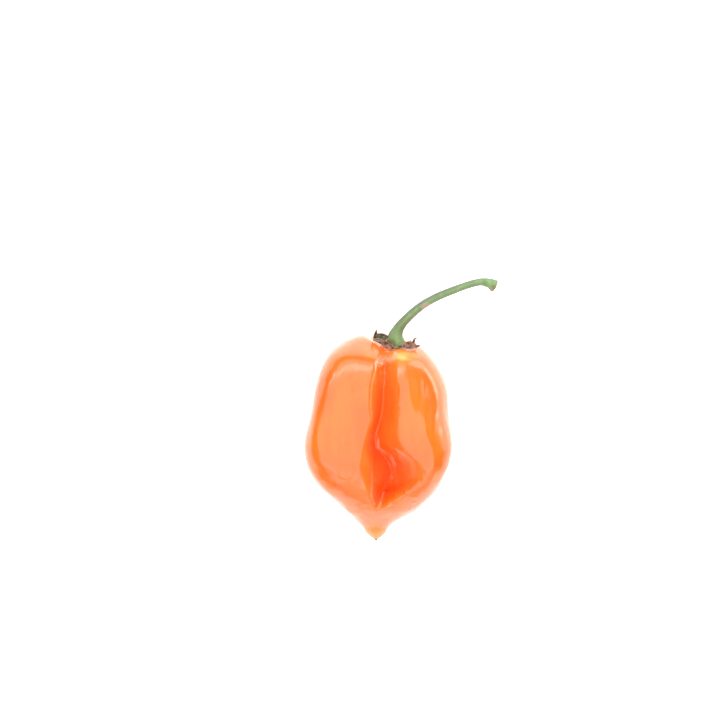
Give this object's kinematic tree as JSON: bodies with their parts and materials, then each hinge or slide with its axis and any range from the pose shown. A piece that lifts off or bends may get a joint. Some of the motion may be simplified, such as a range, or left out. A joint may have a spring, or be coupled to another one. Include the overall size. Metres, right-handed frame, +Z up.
{
  "type": "chilli pepper",
  "caption": "Ripe orange lantern-shaped chilli pepper lying on its side, with deep lobes and folds, a dried toothed calyx and a long curved stalk.",
  "frame": {"origin": "middle of the small flat spot that the lying pod rests on", "axes": "+Z up from the table, +Y along the pod from its tip to its stalk, +X to the right seen from above"},
  "size_m": [0.0512, 0.07, 0.0344],
  "materials": {
    "pod_skin": "waxy gloss",
    "dried_calyx": "dry and papery",
    "stalk_skin": "satin"
  },
  "bodies": {
    "root": {"pod": "pod_skin", "calyx": "dried_calyx", "stalk": "stalk_skin"}
  },
  "joints": []
}
